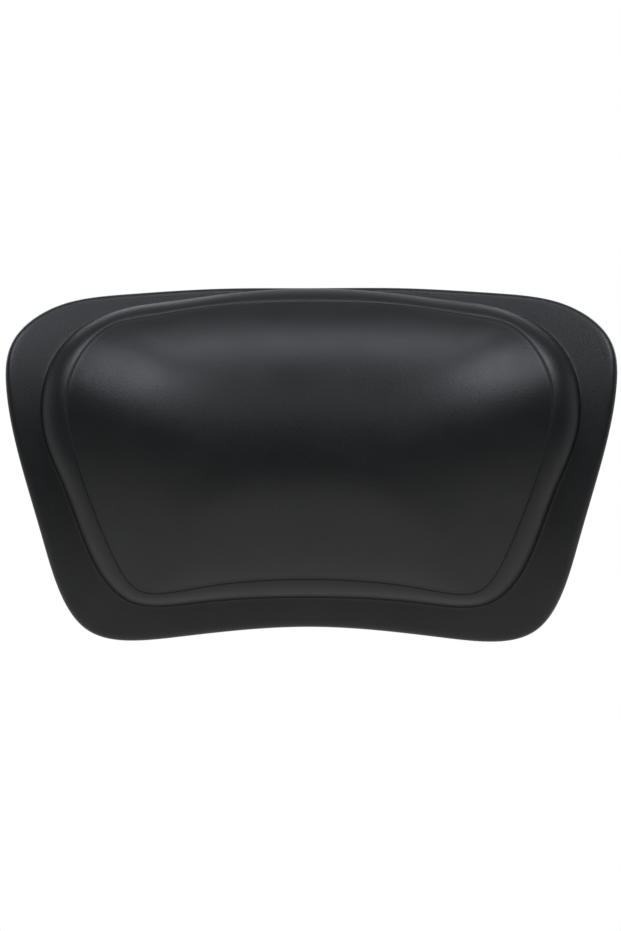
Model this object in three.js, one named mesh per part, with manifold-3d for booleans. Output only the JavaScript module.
// A moulded bath pillow: a skinned foam headrest on a ribbed plate, held to the tub by four
// suction cups that swivel in their sockets. Lengths are millimetres, angles are degrees.
// +X is the viewer's right, -Y the front that the head rests on, and +Z is up. The origin is
// the point of the tub wall midway between the four suction cups.

import * as THREE from 'three';
import { mergeVertices } from 'three/addons/utils/BufferGeometryUtils.js';
import Module from 'manifold-3d';

const wasm = await Module();
wasm.setup();

// The bent sheet that the whole pillow follows
const halfWidth = 163;
const halfHeight = 100;
const lowLeanDegrees = -12;
const middleLeanDegrees = 0;
const highLeanDegrees = 32;
const bendLowShare = -0.95;
const bendHighShare = 1.15;

// The moulded skin: flange, bolster, pressed line and crowned head panel
const skin = 1.4;
const flangeDepth = 9;
const edgeRound = 4;
const lipWidth = 10;
const footRound = 1;
const wallHeight = 3.5;
const wallLean = 0.6;
const bandHeight = 15;
const bandBulgeShare = 1.43;
const grooveHalf = 0.7;
const grooveDepth = 0.3;
const panelStep = 0.6;
const crownHeight = 37;
const crownBulgeShare = 2.2;
const ridgeRise = 16;
const ridgeDrop = 6;
const ridgeWidthShare = 0.25;

// Clearance between pieces, and the overrun of every cut
const gap = 0.3;
const overrun = 2;

// The back: a thin skin sheet over a ribbed plate
const backSkin = 1.2;
const plateThick = 2.2;
const plateInset = 13;
const ribThick = 2;
const ribHeight = 6;
const ribSpread = 34;
const ribEnd = 56;

// The suction cups and what holds them
const cupSpread = 76;
const cupRiseShare = 0.42;
const cupHeight = 12;
const lipRadius = 25;
const lipFlat = 2.5;
const lipThick = 1;
const bellThick = 2.2;
const bellShoulder = 7;
const bellWaist = 17;
const neckRadius = 3.2;
const headRadius = 6;
const headThick = 2.6;
const tabWidth = 7;
const tabReach = 6;
const socketRadius = 20;
const socketThick = 3;
const webThick = 2;
const spigotRadius = 10;
const spigotProud = 1.5;
const chamberWall = 3;

// The screws and the posts that they bite into
const screwSpread = 15;
const screwLength = 12;
const shankRadius = 1.5;
const screwHeadRadius = 3;
const screwHeadDepth = 1.7;
const screwTip = 2;
const recessWidth = 0.9;
const recessReach = 3.6;
const recessDepth = 1.1;
const postWall = 2;

// Counts of the facets
const bendStep = 12;
const facets = 24;
const screwFacets = 12;
const sweepSteps = 12;
const levelShares = [1, 0.8, 0.6, 0.4, 0.2];
const bandShares = [0, 0.5];
const domeShares = [0.86, 0.66, 0.44, 0.22];
const spanShares = { across: 1.1, low: -1.05, high: 1.2 };

// Half outlines from the top centre round to the bottom centre, as shares of the half width
// and the half height. They are the control points of a closed cubic B-spline.
const flangeShares = [
  [0, 0.99], [0.295, 1], [0.6, 0.96], [0.825, 0.93], [0.99, 0.72], [1, 0.465],
  [0.96, 0.11], [0.87, -0.37], [0.78, -1.005], [0.43, -0.93], [0, -0.845],
];
const footShares = [
  [0, 0.96], [0.21, 0.945], [0.435, 0.885], [0.675, 0.845], [0.86, 0.6], [0.885, 0.18],
  [0.785, -0.125], [0.715, -0.52], [0.59, -0.8], [0.335, -0.715], [0, -0.695],
];
const grooveShares = [
  [0, 0.82], [0.3, 0.805], [0.525, 0.735], [0.66, 0.71], [0.755, 0.51], [0.79, 0.3],
  [0.72, -0.075], [0.62, -0.48], [0.545, -0.69], [0.34, -0.595], [0, -0.555],
];

// Levels, measured from the flange's front face: positive is towards the head
const wallLevel = -(flangeDepth + socketThick + gap + cupHeight);
const plateBack = -(flangeDepth - backSkin - gap);
const plateFront = plateBack + plateThick;

// Lean of the sheet at a place v along it, by the quadratic through three named leans
function tilt(v) {
  const low = bendLowShare * halfHeight;
  const high = bendHighShare * halfHeight;
  const degrees = lowLeanDegrees * v * (v - high) / (low * (low - high))
    + middleLeanDegrees * (v - low) * (v - high) / (low * high)
    + highLeanDegrees * v * (v - low) / (high * (high - low));
  return THREE.MathUtils.degToRad(degrees);
}

// Integral of a function of the tilt from the middle of the sheet to v, by Simpson's rule
function sweep(v, ofTilt) {
  let sum = ofTilt(tilt(0)) + ofTilt(tilt(v));
  for (let i = 1; i < sweepSteps; i += 1) {
    sum += (i % 2 === 1 ? 4 : 2) * ofTilt(tilt(v * i / sweepSteps));
  }
  return sum * v / (3 * sweepSteps);
}

// The point that lies u across the sheet, v up along it and h in front of it
function onSheet(u, v, h) {
  const y = sweep(v, Math.sin) - h * Math.cos(tilt(v));
  const z = sweep(v, Math.cos) + h * Math.sin(tilt(v));
  return new THREE.Vector3(u, y, z);
}

// A place on the sheet as a matrix: local X runs across, local Z out of the back
function station(u, v) {
  const across = new THREE.Vector3(1, 0, 0);
  const out = new THREE.Vector3(0, Math.cos(tilt(v)), -Math.sin(tilt(v)));
  const down = new THREE.Vector3().crossVectors(out, across);
  const matrix = new THREE.Matrix4().makeBasis(across, down, out);
  return matrix.setPosition(onSheet(u, v, 0));
}

// Closed B-spline outline, read at a share t of the way round and moved inwards by an inset
function outline(shares) {
  const half = shares.map(([across, up]) => new THREE.Vector2(across * halfWidth, up * halfHeight));
  const mirrored = half.slice(1, -1).reverse().map((point) => new THREE.Vector2(-point.x, point.y));
  const controls = [...half, ...mirrored];
  return (t, inset = 0) => {
    const place = t * controls.length;
    const first = Math.floor(place);
    const f = place - first;
    const weights = [(1 - f) ** 3, 3 * f ** 3 - 6 * f ** 2 + 4, 3 * (f + f ** 2 - f ** 3) + 1, f ** 3];
    const slopes = [-((1 - f) ** 2), 3 * f ** 2 - 4 * f, 1 + 2 * f - 3 * f ** 2, f ** 2];
    const point = new THREE.Vector2();
    const along = new THREE.Vector2();
    weights.forEach((weight, k) => {
      const control = controls[(first + k - 1 + controls.length) % controls.length];
      point.addScaledVector(control, weight / 6);
      along.addScaledVector(control, slopes[k]);
    });
    along.normalize();
    return point.add(new THREE.Vector2(along.y, -along.x).multiplyScalar(inset));
  };
}

// Places of the rings' points along a half outline, counted in control points: they lie
// closer together where the outline turns a corner
const cornerPlaces = [
  0, 0.8, 1.6, 2.2, 2.7, 3.1, 3.5, 3.9, 4.3, 4.8, 5.5, 6.2, 6.8, 7.2, 7.6, 7.9, 8.2, 8.6, 9, 9.5, 10,
];
const halfTurn = 2 * (flangeShares.length - 1);
const turns = [
  ...cornerPlaces.slice(0, -1).map((place) => place / halfTurn),
  ...cornerPlaces.slice(1).reverse().map((place) => 1 - place / halfTurn),
];
const stations = turns.length;

const flange = outline(flangeShares);
const foot = outline(footShares);
const groove = outline(grooveShares);

// One ring of points round an outline at one level
function ring(edge, inset, level) {
  return turns.map((t) => {
    const place = edge(t, inset);
    return onSheet(place.x, place.y, level);
  });
}

// Rings of the flange's outline drawn in towards the middle of the sheet, the widest first
function levelRings(inset, level) {
  return levelShares.map((share) => turns.map((t) => {
    const place = flange(t, inset).multiplyScalar(share);
    return onSheet(place.x, place.y, level);
  }));
}

// Rings up the slope of the band, from the top of its wall towards the pressed line. Inside
// the skin they lie further in at the wall and lower at the pressed line.
function bandRings(wall, grooveInset) {
  return bandShares.map((share) => turns.map((t) => {
    const angle = share * Math.PI / 2;
    const across = 1 - Math.cos(angle) ** bandBulgeShare;
    const rise = Math.sin(angle) ** bandBulgeShare;
    const place = foot(t, wallLean + wall).lerp(groove(t, grooveInset), across);
    return onSheet(place.x, place.y, wallHeight + (bandHeight - wall - wallHeight) * rise);
  }));
}

// Rings of the crowned panel: they close in on a level, arched ridge while the height grows
function domeRings(drop) {
  const edgeLevel = bandHeight + panelStep;
  const widest = Math.max(...turns.map((t) => groove(t, grooveHalf).x));
  return domeShares.map((share) => turns.map((t) => {
    const edge = groove(t, grooveHalf);
    const fall = ridgeDrop * (edge.x / widest) ** 2;
    const ridge = new THREE.Vector2(edge.x * ridgeWidthShare, ridgeRise - fall);
    const place = edge.lerp(ridge, 1 - share);
    const level = edgeLevel + (crownHeight - edgeLevel) * (1 - share ** crownBulgeShare) - drop;
    return onSheet(place.x, place.y, level);
  }));
}

// Closed surface from a first pole through the rings to a last pole. The diagonals of its
// patches are mirrored left to right, so that nested surfaces stay parallel.
function loft(start, rings, end) {
  const points = [start, ...rings.flat(), end];
  const last = points.length - 1;
  const faces = [];
  for (let i = 0; i < stations; i += 1) {
    const j = (i + 1) % stations;
    faces.push([0, 1 + i, 1 + j]);
    faces.push([last, last - stations + j, last - stations + i]);
    for (let k = 0; k < rings.length - 1; k += 1) {
      const near = 1 + k * stations;
      const far = near + stations;
      if (i < stations / 2) {
        faces.push([near + i, far + i, far + j], [near + i, far + j, near + j]);
      } else {
        faces.push([near + i, far + i, near + j], [far + i, far + j, near + j]);
      }
    }
  }
  const geometry = new THREE.BufferGeometry().setFromPoints(points);
  geometry.setIndex(faces.flat());
  return geometry;
}

// A solid for cutting and joining, from a closed geometry
function solidOf(geometry) {
  const bare = geometry.clone();
  bare.deleteAttribute('normal');
  bare.deleteAttribute('uv');
  const merged = mergeVertices(bare);
  return new wasm.Manifold(new wasm.Mesh({
    numProp: 3,
    vertProperties: merged.attributes.position.array,
    triVerts: Uint32Array.from(merged.index.array),
  }));
}

function geometryOf(solid) {
  const mesh = solid.getMesh();
  const geometry = new THREE.BufferGeometry();
  geometry.setAttribute('position', new THREE.BufferAttribute(mesh.vertProperties, 3));
  geometry.setIndex(new THREE.BufferAttribute(mesh.triVerts, 1));
  return geometry;
}

// A turned piece about local Z, from its profile of [radius, z] points
function turned(profile, sides) {
  const points = profile.map(([radius, z]) => new THREE.Vector2(radius, z));
  return new THREE.LatheGeometry(points, sides).rotateX(Math.PI / 2);
}

// A round bar about local Z between two ends
function bar(radius, from, to, sides) {
  return turned([[0, from], [radius, from], [radius, to], [0, to]], sides);
}

// A block on the sheet between two corners [u, v, h], bent in steps up the sheet
function bentBlock(low, high) {
  const steps = Math.max(1, Math.ceil((high[1] - low[1]) / bendStep));
  const block = new THREE.BoxGeometry(1, 1, 1, 1, steps, 1);
  const position = block.attributes.position;
  for (let i = 0; i < position.count; i += 1) {
    const corner = [position.getX(i), position.getY(i), position.getZ(i)];
    const place = corner.map((part, k) => low[k] + (part + 0.5) * (high[k] - low[k]));
    const point = onSheet(...place);
    position.setXYZ(i, point.x, point.y, point.z);
  }
  return block;
}

// The whole sheet between two levels, past the pillow's outline on every side
function wideBlock(back, front) {
  const reach = spanShares.across * halfWidth;
  const low = [-reach, spanShares.low * halfHeight, back];
  return solidOf(bentBlock(low, [reach, spanShares.high * halfHeight, front]));
}

// A slab that follows the sheet inside the flange's outline, between two levels
function slab(inset, back, front) {
  const past = front + bandHeight;
  const rings = [ring(flange, inset, back - overrun), ...levelRings(inset, past)];
  const prism = loft(onSheet(0, 0, back - overrun), rings, onSheet(0, 0, past));
  return wideBlock(back, front).intersect(solidOf(prism));
}

// Levels and insets of the inside of the skin, at a distance from its outer face
function innerRings(wall) {
  return [
    ring(flange, edgeRound, -flangeDepth + wall),
    ring(flange, wall, -flangeDepth / 2),
    ring(flange, edgeRound, -wall),
    ring(foot, wall, -wall),
    ...bandRings(wall, 0),
    ring(groove, 0, bandHeight - grooveDepth - wall),
    ...domeRings(wall),
  ];
}

// Levels and insets of the moulded form, from the rolled edge to the crown
function outerRings() {
  return [
    ring(flange, edgeRound, -flangeDepth),
    ring(flange, 0, -flangeDepth + edgeRound),
    ring(flange, 0, -edgeRound),
    ring(flange, edgeRound, 0),
    ring(foot, -footRound, 0),
    ring(foot, 0, footRound / 2),
    ...bandRings(0, -grooveHalf),
    ring(groove, -grooveHalf, bandHeight),
    ring(groove, 0, bandHeight - grooveDepth),
    ring(groove, grooveHalf, bandHeight + panelStep),
    ...domeRings(0),
  ];
}

// The skin: the moulded form less its cavity, which opens inside the turned-under lip
function frontCover() {
  const lip = lipWidth + gap;
  const form = loft(
    onSheet(0, 0, -flangeDepth),
    [ring(flange, lip, -flangeDepth), ...outerRings()],
    onSheet(0, ridgeRise, crownHeight),
  );
  const cavity = loft(
    onSheet(0, 0, -halfHeight / 2),
    [
      ring(flange, lipWidth, -flangeDepth - overrun),
      ring(flange, lipWidth, -flangeDepth + skin),
      ...innerRings(skin),
    ],
    onSheet(0, ridgeRise, crownHeight - skin),
  );
  return geometryOf(solidOf(form).subtract(solidOf(cavity)));
}

const cupRise = cupRiseShare * halfHeight;
const rows = { upper: cupRise, lower: -cupRise };
const sides = { left: -cupSpread, right: cupSpread };
const screwPlaces = { inner: -screwSpread, outer: screwSpread };

// A tool at every cup's place, or at both screws of every cup
function atCups(geometry) {
  return Object.values(rows).flatMap((v) => Object.values(sides).map((u) => (
    solidOf(geometry.clone().applyMatrix4(station(u, v))))));
}

function atScrews(geometry) {
  return Object.values(screwPlaces).flatMap((x) => atCups(geometry.clone().translate(x, 0, 0)));
}

const cutAll = (solid, tools) => tools.reduce((rest, tool) => rest.subtract(tool), solid);
const addAll = (solid, tools) => tools.reduce((whole, tool) => whole.add(tool), solid);

const postRadius = shankRadius + gap + postWall;
const screwTop = flangeDepth + socketThick - gap;
const screwEnd = screwTop - screwLength;
const postTop = screwEnd - gap - postWall;

// Ribs of the plate: two across between the sockets and two upright, grown by a clearance
function ribs(clearance) {
  const half = ribThick / 2 + clearance;
  const root = plateBack + plateThick / 2;
  const top = plateFront + ribHeight + clearance;
  const reach = ribEnd + clearance;
  const across = Object.values(rows).map((v) => bentBlock([-reach, v - half, root], [reach, v + half, top]));
  const upright = [-ribSpread, ribSpread].map((u) => (
    bentBlock([u - half, -reach, root], [u + half, reach, top])));
  return [...across, ...upright].map(solidOf);
}

// Plate, ribs and screw posts in one, grown by a clearance where the foam is cut round them
function plateBody(clearance, back) {
  const plate = slab(plateInset - clearance, back, plateFront + clearance);
  const root = -plateBack - plateThick / 2;
  const post = bar(postRadius + clearance, postTop - clearance, root, screwFacets);
  return addAll(plate, [...ribs(clearance), ...atScrews(post)]);
}

function supportPlate() {
  const opening = bar(spigotRadius + gap, -plateFront - overrun, -plateBack + overrun, facets);
  const pilot = bar(shankRadius + gap, screwEnd - gap, -plateBack + overrun, screwFacets);
  return geometryOf(cutAll(plateBody(0, plateBack), [...atCups(opening), ...atScrews(pilot)]));
}

function foamCore() {
  const wall = skin + gap;
  const crown = onSheet(0, ridgeRise, crownHeight - wall);
  const base = -flangeDepth + wall;
  const foam = solidOf(loft(onSheet(0, 0, base), innerRings(wall), crown));
  const pocketEnd = -plateFront - spigotProud - overrun;
  const pocket = bar(spigotRadius + overrun, pocketEnd, -plateBack, facets);
  const behind = wideBlock(-halfHeight / 2, base);
  const room = plateBody(gap, plateBack - overrun);
  return geometryOf(cutAll(foam, [behind, room, ...atCups(pocket)]));
}

function backCover() {
  const sheet = slab(lipWidth + gap, -flangeDepth, -flangeDepth + backSkin);
  const opening = bar(spigotRadius + gap, flangeDepth - backSkin - overrun, flangeDepth + overrun, facets);
  const hole = bar(shankRadius + gap, flangeDepth - backSkin - overrun, flangeDepth + overrun, screwFacets);
  return geometryOf(cutAll(sheet, [...atCups(opening), ...atScrews(hole)]));
}

// Socket in its own frame: a flange on the back cover, a spigot through the plate, and a web
// that the cup's head snaps behind
function cupSocket(v) {
  const outer = flangeDepth + socketThick;
  const web = outer - webThick;
  const front = -plateFront - spigotProud;
  const cover = wideBlock(-flangeDepth - gap, 0).transform(station(0, v).invert().elements);
  const disc = solidOf(bar(socketRadius, flangeDepth - overrun, outer, facets)).subtract(cover);
  const spigot = solidOf(bar(spigotRadius, front, outer - webThick / 2, facets));
  const bore = bar(neckRadius + gap, front - overrun, outer + overrun, facets);
  const chamber = bar(spigotRadius - chamberWall, front - overrun, web, facets);
  const sinks = Object.values(screwPlaces).map((x) => turned([
    [0, front],
    [shankRadius + gap, front],
    [shankRadius + gap, screwTop - screwHeadDepth],
    [screwHeadRadius + gap, screwTop],
    [screwHeadRadius + gap, outer + overrun],
    [0, outer + overrun],
  ], screwFacets).translate(x, 0, 0));
  return geometryOf(cutAll(disc.add(spigot), [bore, chamber, ...sinks].map(solidOf)));
}

// Countersunk screw about local Z with its head to the back and a cross recess
function socketScrew() {
  const body = solidOf(turned([
    [0, screwEnd],
    [shankRadius, screwEnd + screwTip],
    [shankRadius, screwTop - screwHeadDepth],
    [screwHeadRadius, screwTop],
    [0, screwTop],
  ], screwFacets));
  const recess = [[recessReach, recessWidth], [recessWidth, recessReach]].map(([x, y]) => (
    solidOf(new THREE.BoxGeometry(x, y, 2 * recessDepth).translate(0, 0, screwTop))));
  return geometryOf(cutAll(body, recess));
}

// Suction cup about local Z: mushroom head, neck, hollow bell, flat lip and a release tab
function suctionCup() {
  const web = flangeDepth + socketThick;
  const bellTop = web + gap;
  const lip = bellTop + cupHeight;
  const headBack = web - webThick - gap;
  const headFront = headBack - headThick;
  const bell = solidOf(turned([
    [0, headFront],
    [headRadius - headThick / 2, headFront],
    [headRadius, headBack - headThick / 2],
    [headRadius, headBack],
    [neckRadius, headBack],
    [neckRadius, bellTop],
    [bellShoulder, bellTop],
    [bellWaist, bellTop + cupHeight / 2],
    [lipRadius, lip - lipThick],
    [lipRadius, lip],
    [lipRadius - lipFlat, lip],
    [bellWaist - bellThick / 2, bellTop + cupHeight / 2 + bellThick],
    [bellShoulder, bellTop + bellThick],
    [0, bellTop + bellThick],
  ], facets));
  const tab = new THREE.BoxGeometry(tabReach + lipFlat, tabWidth, lipThick)
    .translate(lipRadius + (tabReach - lipFlat) / 2, 0, lip - lipThick / 2);
  return geometryOf(bell.add(solidOf(tab)));
}

const blackSkin = new THREE.MeshStandardMaterial({ color: 0x1d1f20, roughness: 0.5, metalness: 0 });
const greyFoam = new THREE.MeshStandardMaterial({ color: 0x55565a, roughness: 0.95, metalness: 0 });
const blackPlate = new THREE.MeshStandardMaterial({ color: 0x18191b, roughness: 0.6, metalness: 0 });
const backSheet = new THREE.MeshStandardMaterial({ color: 0x222426, roughness: 0.65, metalness: 0 });
const socketPlastic = new THREE.MeshStandardMaterial({ color: 0x2a2c2f, roughness: 0.45, metalness: 0 });
const screwSteel = new THREE.MeshStandardMaterial({ color: 0xb9bcc0, roughness: 0.3, metalness: 1 });
const clearVinyl = new THREE.MeshStandardMaterial({ color: 0xc9d2d4, roughness: 0.2, metalness: 0 });

function named(name, geometry, material) {
  const mesh = new THREE.Mesh(geometry, material);
  mesh.name = name;
  return mesh;
}

// One fastening: a socket, its two screws and its cup in the frame of their place
function fastening(row, side) {
  const group = new THREE.Group();
  group.applyMatrix4(station(sides[side], rows[row]));
  const place = `${row}_${side}`;
  group.add(named(`cup_socket_${place}`, cupSocket(rows[row]), socketPlastic));
  group.add(named(`suction_cup_${place}`, suctionCup(), clearVinyl));
  for (const [end, x] of Object.entries(screwPlaces)) {
    const screw = named(`socket_screw_${place}_${end}`, socketScrew(), screwSteel);
    screw.position.x = side === 'left' ? -x : x;
    group.add(screw);
  }
  return group;
}

function pillow() {
  const group = new THREE.Group();
  group.position.copy(onSheet(0, 0, wallLevel).negate());
  group.add(named('front_cover', frontCover(), blackSkin));
  group.add(named('foam_core', foamCore(), greyFoam));
  group.add(named('support_plate', supportPlate(), blackPlate));
  group.add(named('back_cover', backCover(), backSheet));
  for (const row of Object.keys(rows)) {
    for (const side of Object.keys(sides)) {
      group.add(fastening(row, side));
    }
  }
  return group;
}

const model = new THREE.Group();
model.add(pillow());
export default model;
